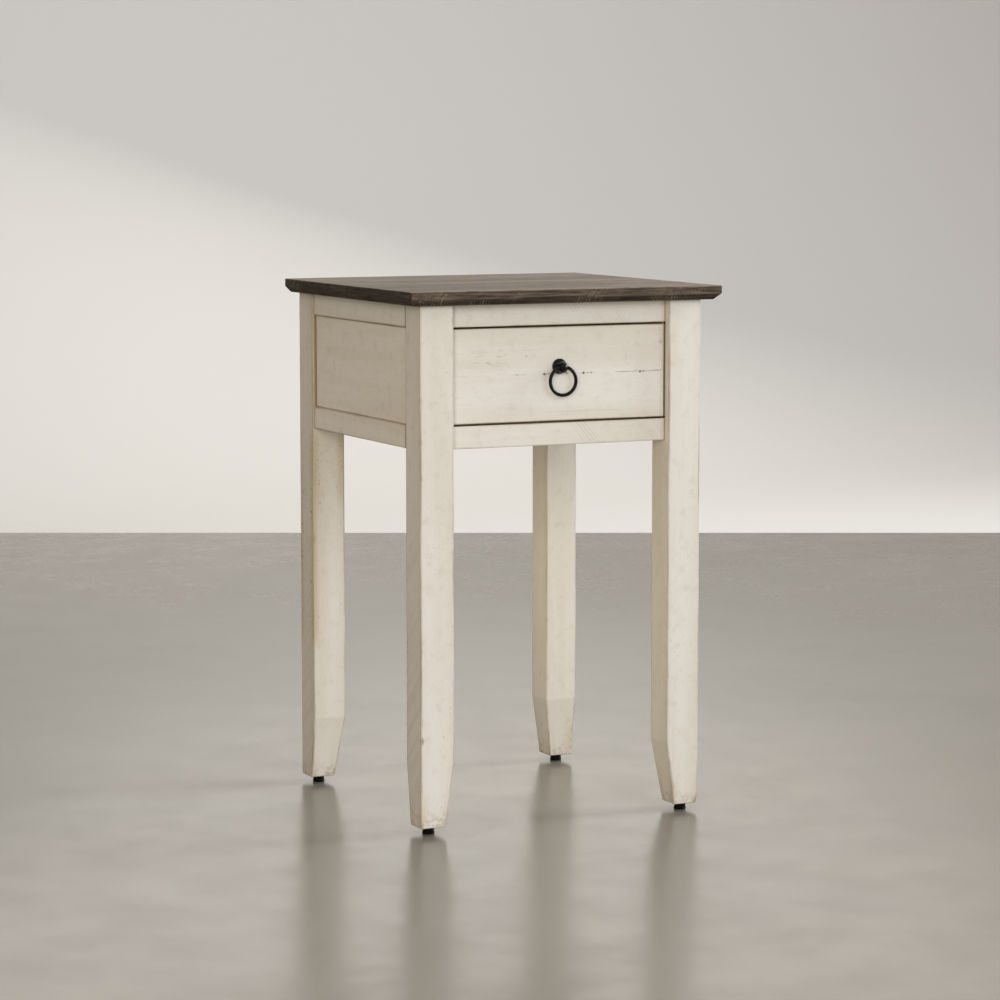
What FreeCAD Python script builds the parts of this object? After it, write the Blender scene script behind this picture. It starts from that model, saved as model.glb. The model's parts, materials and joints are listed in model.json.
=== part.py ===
"""Side table with one drawer: a painted leg-and-panel case, a dark top and a ring pull.

Millimetres, +Z up.  The origin is the middle of the footprint on the floor, the front faces -Y
and +X is to the right of somebody standing in front of the table.
"""
import FreeCAD, Part
import math
import os
from collections import namedtuple

Vector = FreeCAD.Vector
Screw = namedtuple("Screw", "place direction length radius")

# ---------------------------------------------------------------- driving dimensions
HEIGHT = 610.0              # floor to the top surface
TOP_WIDTH = 387.0
TOP_DEPTH = 376.0
TOP_THICKNESS = 16.0
BEVEL = 7.2                 # lower edge bevel of the top, front and sides, at 45 degrees
SIDE_OVERHANG = 18.1        # top beyond the legs, left and right
FRONT_OVERHANG = 17.4       # top beyond the legs in front; the back is flush

LEG = 40.5                  # square section
LEG_TIP = 30.2              # section at the floor end, tapered on the two inner faces
TAPER_START = 82.0          # height where the taper begins
FOOT_HEIGHT = 8.6           # floor to the wooden end of a leg

APRON_BOTTOM = 432.9
RAIL_HEIGHT = 25.7
FRONT_RAIL_THICKNESS = 20.0
SIDE_RAIL_THICKNESS = 18.0
FRONT_RECESS = 10.0         # front rails and drawer front behind the legs' front faces
RAIL_RECESS = 2.0           # side and back rails behind the legs' outer faces
PANEL_RECESS = 5.0
PANEL_THICKNESS = 6.0
PANEL_TONGUE = 6.0          # how far a panel runs into its grooves
TENON_LENGTH = 15.0
TENON_SHOULDER = 4.0        # tenon smaller than its rail on each side

CLEAT = 20.0                # square strips that carry the top screws
SCREW_RADIUS = 1.8
SCREW_POINT = 0.2           # radius left at a screw's point
SCREW_BITE = 0.6            # share of the far piece that a screw enters
TOP_SCREW_SPREAD = 0.35     # top screws from a cleat's middle, as a share of its length
CLEAT_SCREW_SPREAD = 0.2    # cleat-to-rail screws, likewise

# drawer
GAP_SIDE = 1.3              # drawer front to leg
GAP_HEIGHT = 1.6            # drawer front to rail
FRONT_THICKNESS = 18.0
BOX_HEIGHT = 85.0
BOX_DEPTH = 305.0
BOX_LIFT = 9.0              # box bottom above the lower rail
BOARD = 12.0                # drawer box boards
BOTTOM_THICKNESS = 5.0
BOTTOM_GROOVE = 6.0         # depth of the groove that holds the bottom
BOTTOM_UP = 9.0             # groove above the lower edge
DOVETAILS = 4               # pins between the two half pins at a corner
PIN_NARROW = 6.0            # pin width at the outer face
PIN_WIDE = 9.0              # pin width at the shoulder
FRONT_SCREW_SPREAD = 0.7    # drawer front's screws, as a share of the box's half width
FRONT_SCREW_LEVELS = (0.3, 0.75)    # and of its height

# drawer slides
SLIDE_THICKNESS = 12.7
SLIDE_HEIGHT = 35.0
SLIDE_LENGTH = 300.0
SHEET = 1.2                 # steel sheet
LIP = 1.6                   # inturned edge of the case member
CASE_MEMBER_GAP = 0.8       # case member's lips to the drawer member's web
DRAWER_MEMBER_GAP = 3.4     # drawer member's flanges to the face the case member is fixed on
INNER_HEIGHT = 21.8         # drawer member's outside height
BALL = 4.8
BALL_LINE = 6.2             # balls' centres from the face the case member is fixed on
BALL_SLACK = 0.3            # ball to raceway
POCKET_SLACK = 0.05         # ball to its pocket, in radius
CAGE_LENGTH = 70.0
CAGE_SHEET = 0.8
CAGE_GAP = 0.6              # cage to the case member's web
CAGE_REACH = 9.0            # edge of the cage from the face the case member is fixed on
BALLS_PER_ROW = 5
SLIDE_SCREWS = (0.13, 0.45, 0.87)   # fixing points along a member, as shares of its length
CASE_SCREW_LENGTH = 16.0
MEMBER_SCREW_RADIUS = 1.6
BATTEN_HEIGHT = 45.0
SLIDE_SETBACK = 2.0         # slide behind the drawer front's inner face

# ring pull
PULL_REACH = 10.2           # drawer face to the middle of the ring
PULL_HEIGHT = 521.7         # axis of the pull above the floor
RING_RADIUS = 16.0          # centreline
RING_WIRE = 2.0             # wire radius
BALL_HEAD = 6.6             # radius of the pull's head
BALL_SETBACK = 2.2          # middle of the head behind the ring
BALL_DROP = 0.8             # middle of the head below the axis of the pull
ROSETTE_RADIUS = 8.8
ROSETTE_HEIGHT = 4.2
NECK_RADIUS = 3.6
PULL_SLACK = 0.4            # ring wire to its hole, in radius
PULL_SCREW_RADIUS = 2.0
PULL_SCREW_BITE = 5.0       # pull screw beyond the drawer's face
WASHER_RADIUS = 6.5
WASHER_THICKNESS = 1.0

# adjustable feet
PAD_RADIUS = 7.0
PAD_BASE = 2.6              # height of the pad's base
PAD_WAIST = 1.2             # height of the groove above it
WAIST_IN = 0.9              # groove behind the base, in radius
COLLAR_IN = 0.4             # collar behind the base, in radius
STUD_RADIUS = 3.0
STUD_SLACK = 0.05
STUD_LENGTH = 20.0          # inside the leg
STUD_EMBED = 5.0            # inside the pad
STUD_TIP = 1.0              # chamfer at the stud's end
STUD_HOLE_SPARE = 1.0       # hole beyond the stud's end
INSERT_RADIUS = 4.5
INSERT_LENGTH = 14.0
FOOT_INSET = LEG_TIP / 2    # foot centre from the legs' outer faces
FOOT_GAP = 0.3              # pad to the end of the leg

# ---------------------------------------------------------------- positions that follow
TOP_UNDERSIDE = HEIGHT - TOP_THICKNESS
LEG_X = TOP_WIDTH / 2 - SIDE_OVERHANG          # outer face of the right legs
FRONT_Y = -TOP_DEPTH / 2 + FRONT_OVERHANG      # outer face of the front legs
BACK_Y = TOP_DEPTH / 2
OPENING_X = LEG_X - LEG                        # half the width between the legs
FACE_Y = FRONT_Y + FRONT_RECESS                # face of the front rails and the drawer
LOWER_RAIL_TOP = APRON_BOTTOM + RAIL_HEIGHT
UPPER_RAIL_BOTTOM = TOP_UNDERSIDE - RAIL_HEIGHT
BOX_FRONT_Y = FACE_Y + FRONT_THICKNESS
BOX_BACK_Y = BOX_FRONT_Y + BOX_DEPTH
BOX_X = OPENING_X - SLIDE_THICKNESS            # outer face of the drawer sides
BOX_BOTTOM = LOWER_RAIL_TOP + BOX_LIFT
BOX_TOP = BOX_BOTTOM + BOX_HEIGHT
SLIDE_Z = BOX_BOTTOM + BOX_HEIGHT / 2
SLIDE_Y = BOX_FRONT_Y + SLIDE_SETBACK
RING_Y = FACE_Y - PULL_REACH
RAIL_HEIGHTS = {"bottom": APRON_BOTTOM, "top": UPPER_RAIL_BOTTOM}
CORNERS = {
    "front_left": (-1, -1),
    "front_right": (1, -1),
    "back_left": (-1, 1),
    "back_right": (1, 1),
}


# ---------------------------------------------------------------- helpers
def box(x_span, y_span, z_span):
    """A block between two limits, in any order, along each axis."""
    spans = [sorted(x_span), sorted(y_span), sorted(z_span)]
    sizes = [high - low for low, high in spans]
    return Part.makeBox(*sizes, Vector(*[low for low, high in spans]))


def prism(points, direction):
    """A closed outline pushed along a direction."""
    outline = Part.makePolygon(points + [points[0]])
    return Part.Face(outline).extrude(direction)


def mirrored(shape):
    """The same shape on the other side of the table's middle plane."""
    return shape.mirror(Vector(0, 0, 0), Vector(1, 0, 0))


def aimed(shape, place, direction):
    """Turn a shape built along +Z to a direction and put it in its place."""
    turn = FreeCAD.Rotation(Vector(0, 0, 1), direction)
    moved = shape.copy()
    moved.Placement = FreeCAD.Placement(place, turn)
    return moved


def compound_cut(shape, tools):
    """Cut several tools out of a shape, one after another."""
    for tool in tools:
        shape = shape.cut(tool)
    return shape


def export(name, shapes):
    """Write one solid, or a group of separate solids, as one part file."""
    solids = [solid for shape in shapes for solid in shape.Solids]
    for solid in solids:
        if not solid.isValid() or solid.Volume <= 0:
            raise ValueError("bad solid in " + name)
    body = solids[0] if len(solids) == 1 else Part.makeCompound(solids)
    body.exportStep("parts/" + name + ".step")


# ---------------------------------------------------------------- fasteners
def screw_body(screw):
    """Countersunk wood screw along +Z from its head, with no recess."""
    head_depth = screw.radius
    point_length = 2 * screw.radius
    point_start = screw.length - point_length
    head = Part.makeCone(2 * screw.radius, screw.radius, head_depth)
    shank = Part.makeCylinder(screw.radius, point_start - head_depth, Vector(0, 0, head_depth))
    point = Part.makeCone(screw.radius, SCREW_POINT, point_length, Vector(0, 0, point_start))
    return head.fuse(shank).fuse(point)


def screw_hole(screw):
    """The space a screw takes in the pieces it joins; its head is flush at its place."""
    return aimed(screw_body(screw), screw.place, screw.direction)


def screw_solid(screw):
    """A screw with its cross recess."""
    recess_depth = 1.2
    half_wide = 0.45
    half_long = 1.2 * screw.radius
    body = screw_body(screw)
    body = body.cut(box((-half_long, half_long), (-half_wide, half_wide), (0, recess_depth)))
    body = body.cut(box((-half_wide, half_wide), (-half_long, half_long), (0, recess_depth)))
    return aimed(body, screw.place, screw.direction)


def holes(screws):
    """The holes for a list of screws."""
    return [screw_hole(screw) for screw in screws]


def solids_of(screws, both_sides=False):
    """The screws of a list, and their mirror images where the table has both."""
    made = [screw_solid(screw) for screw in screws]
    return made + [mirrored(item) for item in made] if both_sides else made


# ---------------------------------------------------------------- case
def table_top():
    """Dark board with a bevel under the front and both side edges."""
    half = TOP_WIDTH / 2
    front = -TOP_DEPTH / 2
    across = [
        Vector(-half + BEVEL, front, TOP_UNDERSIDE),
        Vector(half - BEVEL, front, TOP_UNDERSIDE),
        Vector(half, front, TOP_UNDERSIDE + BEVEL),
        Vector(half, front, HEIGHT),
        Vector(-half, front, HEIGHT),
        Vector(-half, front, TOP_UNDERSIDE + BEVEL),
    ]
    along = [
        Vector(-half, front + BEVEL, TOP_UNDERSIDE),
        Vector(-half, BACK_Y, TOP_UNDERSIDE),
        Vector(-half, BACK_Y, HEIGHT),
        Vector(-half, front, HEIGHT),
        Vector(-half, front, TOP_UNDERSIDE + BEVEL),
    ]
    side_profile = prism(across, Vector(0, TOP_DEPTH, 0))
    front_profile = prism(along, Vector(TOP_WIDTH, 0, 0))
    return side_profile.common(front_profile)


def leg_blank(side_x, side_y):
    """Square leg, straight on its two outer faces and tapered on its two inner ones."""
    outer_x = side_x * LEG_X
    outer_y = FRONT_Y if side_y < 0 else BACK_Y

    def outline(outer, inward, point):
        steps = [(0, FOOT_HEIGHT), (LEG_TIP, FOOT_HEIGHT), (LEG, TAPER_START), (LEG, TOP_UNDERSIDE),
                 (0, TOP_UNDERSIDE)]
        return [point(outer + inward * step, height) for step, height in steps]

    from_front = outline(outer_x, -side_x, lambda x, z: Vector(x, outer_y, z))
    from_side = outline(outer_y, -side_y, lambda y, z: Vector(outer_x, y, z))
    wide = prism(from_front, Vector(0, -side_y * LEG, 0))
    deep = prism(from_side, Vector(-side_x * LEG, 0, 0))
    return wide.common(deep)


def foot_place(side_x, side_y):
    """Centre of a foot on the floor."""
    outer_y = FRONT_Y if side_y < 0 else BACK_Y
    return Vector(side_x * (LEG_X - FOOT_INSET), outer_y - side_y * FOOT_INSET, 0)


def rail_between_sides(y_span, bottom):
    """Rail along X with a tenon at each end."""
    z_span = (bottom, bottom + RAIL_HEIGHT)
    tenon_y = (min(y_span) + TENON_SHOULDER, max(y_span) - TENON_SHOULDER)
    tenon_z = (z_span[0] + TENON_SHOULDER, z_span[1] - TENON_SHOULDER)
    reach = OPENING_X + TENON_LENGTH
    body = box((-OPENING_X, OPENING_X), y_span, z_span)
    return body.fuse(box((-reach, reach), tenon_y, tenon_z)).removeSplitter()


def rail_between_ends(x_span, bottom):
    """Rail along Y with a tenon at each end."""
    z_span = (bottom, bottom + RAIL_HEIGHT)
    tenon_x = (min(x_span) + TENON_SHOULDER, max(x_span) - TENON_SHOULDER)
    tenon_z = (z_span[0] + TENON_SHOULDER, z_span[1] - TENON_SHOULDER)
    y_span = (FRONT_Y + LEG, BACK_Y - LEG)
    tenon_y = (y_span[0] - TENON_LENGTH, y_span[1] + TENON_LENGTH)
    body = box(x_span, y_span, z_span)
    return body.fuse(box(tenon_x, tenon_y, tenon_z)).removeSplitter()


def side_panel():
    """Left panel, held in grooves in the rails and the legs."""
    outer = -LEG_X + PANEL_RECESS
    return box(
        (outer, outer + PANEL_THICKNESS),
        (FRONT_Y + LEG - PANEL_TONGUE, BACK_Y - LEG + PANEL_TONGUE),
        (LOWER_RAIL_TOP - PANEL_TONGUE, UPPER_RAIL_BOTTOM + PANEL_TONGUE),
    )


def back_panel():
    """Back panel, held in grooves in the back rails and the back legs."""
    outer = BACK_Y - PANEL_RECESS
    return box(
        (-OPENING_X - PANEL_TONGUE, OPENING_X + PANEL_TONGUE),
        (outer - PANEL_THICKNESS, outer),
        (LOWER_RAIL_TOP - PANEL_TONGUE, UPPER_RAIL_BOTTOM + PANEL_TONGUE),
    )


def cleats():
    """Four strips under the top, against the inside of the upper rails and the side panels."""
    z_span = (TOP_UNDERSIDE - CLEAT, TOP_UNDERSIDE)
    rail_inside_x = LEG_X - RAIL_RECESS - SIDE_RAIL_THICKNESS
    front_inside = FACE_Y + FRONT_RAIL_THICKNESS
    back_inside = BACK_Y - RAIL_RECESS - SIDE_RAIL_THICKNESS
    left = box((-rail_inside_x, -rail_inside_x + CLEAT), (FRONT_Y + LEG, BACK_Y - LEG), z_span)
    return {
        "cleat_left": left,
        "cleat_right": mirrored(left),
        "cleat_front": box((-OPENING_X, OPENING_X), (front_inside, front_inside + CLEAT), z_span),
        "cleat_back": box((-OPENING_X, OPENING_X), (back_inside - CLEAT, back_inside), z_span),
    }


def top_screws(strips):
    """Screws driven up through the cleats into the top."""
    length = CLEAT + TOP_THICKNESS * SCREW_BITE
    places = []
    for name, strip in strips.items():
        bounds = strip.BoundBox
        middle = bounds.Center
        reach = TOP_SCREW_SPREAD * max(bounds.XLength, bounds.YLength)
        along_y = name in ("cleat_left", "cleat_right")
        for step in (-reach, reach):
            x = middle.x if along_y else step
            y = middle.y + step if along_y else middle.y
            places.append(Vector(x, y, bounds.ZMin))
    return [Screw(place, Vector(0, 0, 1), length, SCREW_RADIUS) for place in places]


def cleat_screws(strips):
    """Screws driven sideways through the cleats into the upper rails."""
    length = CLEAT + SIDE_RAIL_THICKNESS * SCREW_BITE
    outward = {
        "cleat_left": Vector(-1, 0, 0),
        "cleat_right": Vector(1, 0, 0),
        "cleat_front": Vector(0, -1, 0),
        "cleat_back": Vector(0, 1, 0),
    }
    screws = []
    for name, strip in strips.items():
        bounds = strip.BoundBox
        direction = outward[name]
        for share in (-CLEAT_SCREW_SPREAD, CLEAT_SCREW_SPREAD):
            x = -direction.x * bounds.XLength / 2 + abs(direction.y) * share * bounds.XLength
            y = -direction.y * bounds.YLength / 2 + abs(direction.x) * share * bounds.YLength
            place = bounds.Center + Vector(x, y, 0)
            screws.append(Screw(place, direction, length, SCREW_RADIUS))
    return screws


def slide_batten():
    """Left batten: fills from the side panel to the inner face of the legs."""
    panel_inside = -LEG_X + PANEL_RECESS + PANEL_THICKNESS
    half = BATTEN_HEIGHT / 2
    return box((panel_inside, -OPENING_X), (FRONT_Y + LEG, BACK_Y - LEG), (SLIDE_Z - half, SLIDE_Z + half))


def insert(side_x, side_y):
    """Steel threaded insert driven into the end of a leg."""
    start = foot_place(side_x, side_y) + Vector(0, 0, FOOT_HEIGHT)
    sleeve = Part.makeCylinder(INSERT_RADIUS, INSERT_LENGTH, start)
    return sleeve.cut(stud_hole(side_x, side_y))


def stud_hole(side_x, side_y):
    """Clearance for a foot's stud, from the end of the leg to past the stud's tip."""
    start = foot_place(side_x, side_y) + Vector(0, 0, FOOT_HEIGHT)
    return Part.makeCylinder(STUD_RADIUS + STUD_SLACK, STUD_LENGTH + STUD_HOLE_SPARE, start)


# ---------------------------------------------------------------- feet
def leveller_pad(side_x, side_y):
    """Moulded foot: a wide base, a waist and a collar."""
    place = foot_place(side_x, side_y)
    soft_edge = 0.6
    pad = Part.makeCone(PAD_RADIUS - soft_edge, PAD_RADIUS, soft_edge, place)
    level = soft_edge
    collar_height = FOOT_HEIGHT - FOOT_GAP - PAD_BASE - PAD_WAIST
    for radius, height in ((PAD_RADIUS, PAD_BASE - soft_edge), (PAD_RADIUS - WAIST_IN, PAD_WAIST),
                           (PAD_RADIUS - COLLAR_IN, collar_height)):
        pad = pad.fuse(Part.makeCylinder(radius, height, place + Vector(0, 0, level)))
        level += height
    return pad.cut(leveller_stud(side_x, side_y))


def leveller_stud(side_x, side_y):
    """Steel stud moulded into the foot and screwed into the leg."""
    start = foot_place(side_x, side_y) + Vector(0, 0, FOOT_HEIGHT - STUD_EMBED)
    straight = STUD_EMBED + STUD_LENGTH - STUD_TIP
    shank = Part.makeCylinder(STUD_RADIUS, straight, start)
    end = start + Vector(0, 0, straight)
    return shank.fuse(Part.makeCone(STUD_RADIUS, STUD_RADIUS - STUD_TIP, STUD_TIP, end))


# ---------------------------------------------------------------- drawer slides (left side)
def channel(wall_x, open_sign, height, depth, length):
    """Thin C-shaped strip along Y: web at wall_x, flanges reaching towards open_sign."""
    half = height / 2
    y_span = (SLIDE_Y, SLIDE_Y + length)
    outside = box((wall_x, wall_x + open_sign * depth), y_span, (SLIDE_Z - half, SLIDE_Z + half))
    hollow = box(
        (wall_x + open_sign * SHEET, wall_x + open_sign * (depth + 1)),
        (y_span[0] - 1, y_span[1] + 1),
        (SLIDE_Z - half + SHEET, SLIDE_Z + half - SHEET),
    )
    return outside.cut(hollow)


def raceway_height():
    """Distance of a ball row's centre from the slide's centreline."""
    return INNER_HEIGHT / 2 + BALL_SLACK + BALL / 2


def slide_outer():
    """Case member: C channel with inturned lips that keep the balls in."""
    depth = SLIDE_THICKNESS - SHEET - CASE_MEMBER_GAP
    wall = -OPENING_X
    member = channel(wall, 1, SLIDE_HEIGHT, depth, SLIDE_LENGTH)
    for side in (-1, 1):
        flange = SLIDE_Z + side * (SLIDE_HEIGHT / 2 - SHEET)
        member = member.fuse(box((wall + depth - SHEET, wall + depth), (SLIDE_Y, SLIDE_Y + SLIDE_LENGTH),
                                 (flange, flange - side * LIP)))
    return member.removeSplitter()


def slide_inner():
    """Drawer member: smaller C channel, its web against the drawer side."""
    return channel(-BOX_X, -1, INNER_HEIGHT, SLIDE_THICKNESS - DRAWER_MEMBER_GAP, SLIDE_LENGTH)


def cage_start():
    """Front end of the ball cage with the drawer closed."""
    return SLIDE_Y + (SLIDE_LENGTH - CAGE_LENGTH) / 2


def ball_places():
    """Centres of the balls, in an upper and a lower row."""
    x = -OPENING_X + BALL_LINE
    pitch = CAGE_LENGTH / BALLS_PER_ROW
    places = []
    for side in (-1, 1):
        for index in range(BALLS_PER_ROW):
            y = cage_start() + pitch * (index + 0.5)
            places.append(Vector(x, y, SLIDE_Z + side * raceway_height()))
    return places


def ball_cage():
    """Pressed cage: a web behind the drawer member and two shelves that carry the balls."""
    web = -OPENING_X + SHEET + CAGE_GAP
    shelf_end = -OPENING_X + CAGE_REACH
    half = raceway_height() + CAGE_SHEET / 2
    y_span = (cage_start(), cage_start() + CAGE_LENGTH)
    outside = box((web, shelf_end), y_span, (SLIDE_Z - half, SLIDE_Z + half))
    hollow = box(
        (web + CAGE_SHEET, shelf_end + 1),
        (y_span[0] - 1, y_span[1] + 1),
        (SLIDE_Z - half + CAGE_SHEET, SLIDE_Z + half - CAGE_SHEET),
    )
    pockets = [Part.makeSphere(BALL / 2 + POCKET_SLACK, place) for place in ball_places()]
    return compound_cut(outside.cut(hollow), pockets)


def slide_screw_places(x):
    """Fixing points along a slide member."""
    return [Vector(x, SLIDE_Y + share * SLIDE_LENGTH, SLIDE_Z) for share in SLIDE_SCREWS]


def slide_case_screws():
    """Left case member into the batten."""
    places = slide_screw_places(-OPENING_X + SHEET)
    return [Screw(place, Vector(-1, 0, 0), CASE_SCREW_LENGTH, SCREW_RADIUS) for place in places]


def slide_drawer_screws():
    """Left drawer member into the drawer side."""
    places = slide_screw_places(-BOX_X - SHEET)
    return [Screw(place, Vector(1, 0, 0), BOARD - SCREW_RADIUS, MEMBER_SCREW_RADIUS) for place in places]


# ---------------------------------------------------------------- drawer
def drawer_front():
    """Inset board that closes the opening."""
    half = OPENING_X - GAP_SIDE
    return box((-half, half), (FACE_Y, BOX_FRONT_Y),
               (LOWER_RAIL_TOP + GAP_HEIGHT, UPPER_RAIL_BOTTOM - GAP_HEIGHT))


def corner_pins(outer_y, shoulder_y):
    """Dovetail pins at one end of the drawer box, left side, with a half pin top and bottom."""
    spacing = BOX_HEIGHT / (DOVETAILS + 1)
    pins = []
    for index in range(DOVETAILS + 2):
        middle = BOX_BOTTOM + spacing * index
        limits = []
        for y, width in ((outer_y, PIN_NARROW), (shoulder_y, PIN_WIDE)):
            low = max(BOX_BOTTOM, middle - width / 2)
            high = min(BOX_TOP, middle + width / 2)
            limits.append((y, low, high))
        (near_y, near_low, near_high), (far_y, far_low, far_high) = limits
        points = [
            Vector(-BOX_X, near_y, near_low),
            Vector(-BOX_X, far_y, far_low),
            Vector(-BOX_X, far_y, far_high),
            Vector(-BOX_X, near_y, near_high),
        ]
        pins.append(prism(points, Vector(BOARD, 0, 0)))
    return pins


def drawer_bottom():
    """Thin panel in grooves on all four sides."""
    reach = BOX_X - BOARD + BOTTOM_GROOVE
    level = BOX_BOTTOM + BOTTOM_UP
    return box(
        (-reach, reach),
        (BOX_FRONT_Y + BOARD - BOTTOM_GROOVE, BOX_BACK_Y - BOARD + BOTTOM_GROOVE),
        (level, level + BOTTOM_THICKNESS),
    )


def drawer_side(pins):
    """Left side board, with the tails left between the pins."""
    board = box((-BOX_X, -BOX_X + BOARD), (BOX_FRONT_Y, BOX_BACK_Y), (BOX_BOTTOM, BOX_TOP))
    return compound_cut(board, pins + [drawer_bottom()])


def drawer_cross_board(outer_y, shoulder_y, pins):
    """Board between the sides, with its pins on both ends."""
    board = box((-BOX_X + BOARD, BOX_X - BOARD), (outer_y, shoulder_y), (BOX_BOTTOM, BOX_TOP))
    for pin in pins:
        board = board.fuse(pin).fuse(mirrored(pin))
    return board.removeSplitter().cut(drawer_bottom())


def drawer_front_screws():
    """Screws from inside the box into the drawer front."""
    y = BOX_FRONT_Y + BOARD
    reach = BOX_X * FRONT_SCREW_SPREAD
    places = [Vector(x, y, BOX_BOTTOM + share * BOX_HEIGHT)
              for x in (-reach, reach) for share in FRONT_SCREW_LEVELS]
    length = BOARD + FRONT_THICKNESS * SCREW_BITE
    return [Screw(place, Vector(0, -1, 0), length, SCREW_RADIUS) for place in places]


# ---------------------------------------------------------------- ring pull
def pull_rosette():
    """Round back plate with a rounded shoulder."""
    edge = 1.4
    shoulder_radius = 0.86 * ROSETTE_RADIUS
    shoulder_height = 0.72 * ROSETTE_HEIGHT
    flat_radius = 0.55 * ROSETTE_RADIUS
    back_centre = Vector(0, FACE_Y, 0)
    back_rim = Vector(ROSETTE_RADIUS, FACE_Y, 0)
    front_rim = Vector(ROSETTE_RADIUS, FACE_Y - edge, 0)
    shoulder = Vector(shoulder_radius, FACE_Y - shoulder_height, 0)
    flat_rim = Vector(flat_radius, FACE_Y - ROSETTE_HEIGHT, 0)
    front_centre = Vector(0, FACE_Y - ROSETTE_HEIGHT, 0)
    profile = Part.Wire([
        Part.LineSegment(back_centre, back_rim).toShape(),
        Part.LineSegment(back_rim, front_rim).toShape(),
        Part.Arc(front_rim, shoulder, flat_rim).toShape(),
        Part.LineSegment(flat_rim, front_centre).toShape(),
        Part.LineSegment(front_centre, back_centre).toShape(),
    ])
    plate = Part.Face(profile).revolve(Vector(0, 0, 0), Vector(0, 1, 0), 360)
    plate.translate(Vector(0, 0, PULL_HEIGHT))
    return plate.cut(ball_on_post())


def ball_on_post():
    """The pull's head on its round post from the drawer face, not yet drilled."""
    length = PULL_REACH - BALL_SETBACK
    post = Part.makeCylinder(NECK_RADIUS, length, Vector(0, FACE_Y, PULL_HEIGHT), Vector(0, -1, 0))
    ball = Part.makeSphere(BALL_HEAD, Vector(0, FACE_Y - length, PULL_HEIGHT - BALL_DROP))
    return ball.fuse(post).removeSplitter()


def ring_hole():
    """Hole across the head, flared at both ends so that the curved wire can turn in it."""
    reach = BALL_HEAD + 1       # past the ball at both ends
    narrow = RING_WIRE + PULL_SLACK

    def radius_at(x):
        return narrow + RING_RADIUS - math.sqrt(RING_RADIUS ** 2 - x ** 2)

    flare = Part.Arc(
        Vector(-reach, radius_at(reach), 0),
        Vector(0, narrow, 0),
        Vector(reach, radius_at(reach), 0),
    ).toShape()
    sides = [
        Part.LineSegment(Vector(reach, radius_at(reach), 0), Vector(reach, 0, 0)).toShape(),
        Part.LineSegment(Vector(reach, 0, 0), Vector(-reach, 0, 0)).toShape(),
        Part.LineSegment(Vector(-reach, 0, 0), Vector(-reach, radius_at(reach), 0)).toShape(),
    ]
    hole = Part.Face(Part.Wire([flare] + sides)).revolve(Vector(0, 0, 0), Vector(1, 0, 0), 360)
    hole.translate(Vector(0, RING_Y, PULL_HEIGHT))
    return hole


def pull_head():
    """Ball on its post, drilled across for the ring and from behind for the screw."""
    return ball_on_post().cut(ring_hole()).cut(pull_screw())


def pull_screw():
    """Machine screw from inside the drawer box into the post."""
    head_radius = 4.5
    head_height = 2.4
    slot_half = 0.6
    slot_depth = 1.2
    inward = Vector(0, 1, 0)
    tip = Vector(0, FACE_Y - PULL_SCREW_BITE, PULL_HEIGHT)
    seat = BOX_FRONT_Y + BOARD + WASHER_THICKNESS
    shank = Part.makeCylinder(PULL_SCREW_RADIUS, seat - tip.y, tip, inward)
    head = Part.makeCylinder(head_radius, head_height, Vector(0, seat, PULL_HEIGHT), inward)
    outer_end = seat + head_height
    slot = box((-slot_half, slot_half), (outer_end - slot_depth, outer_end),
               (PULL_HEIGHT - head_radius, PULL_HEIGHT + head_radius))
    return shank.fuse(head).cut(slot)


def pull_washer():
    """Washer between the screw head and the box."""
    place = Vector(0, BOX_FRONT_Y + BOARD, PULL_HEIGHT)
    washer = Part.makeCylinder(WASHER_RADIUS, WASHER_THICKNESS, place, Vector(0, 1, 0))
    return washer.cut(pull_screw())


def pull_ring():
    """Loose ring, its top wire through the head."""
    centre = Vector(0, RING_Y, PULL_HEIGHT - RING_RADIUS)
    return Part.makeTorus(RING_RADIUS, RING_WIRE, centre, Vector(0, 1, 0))


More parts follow.
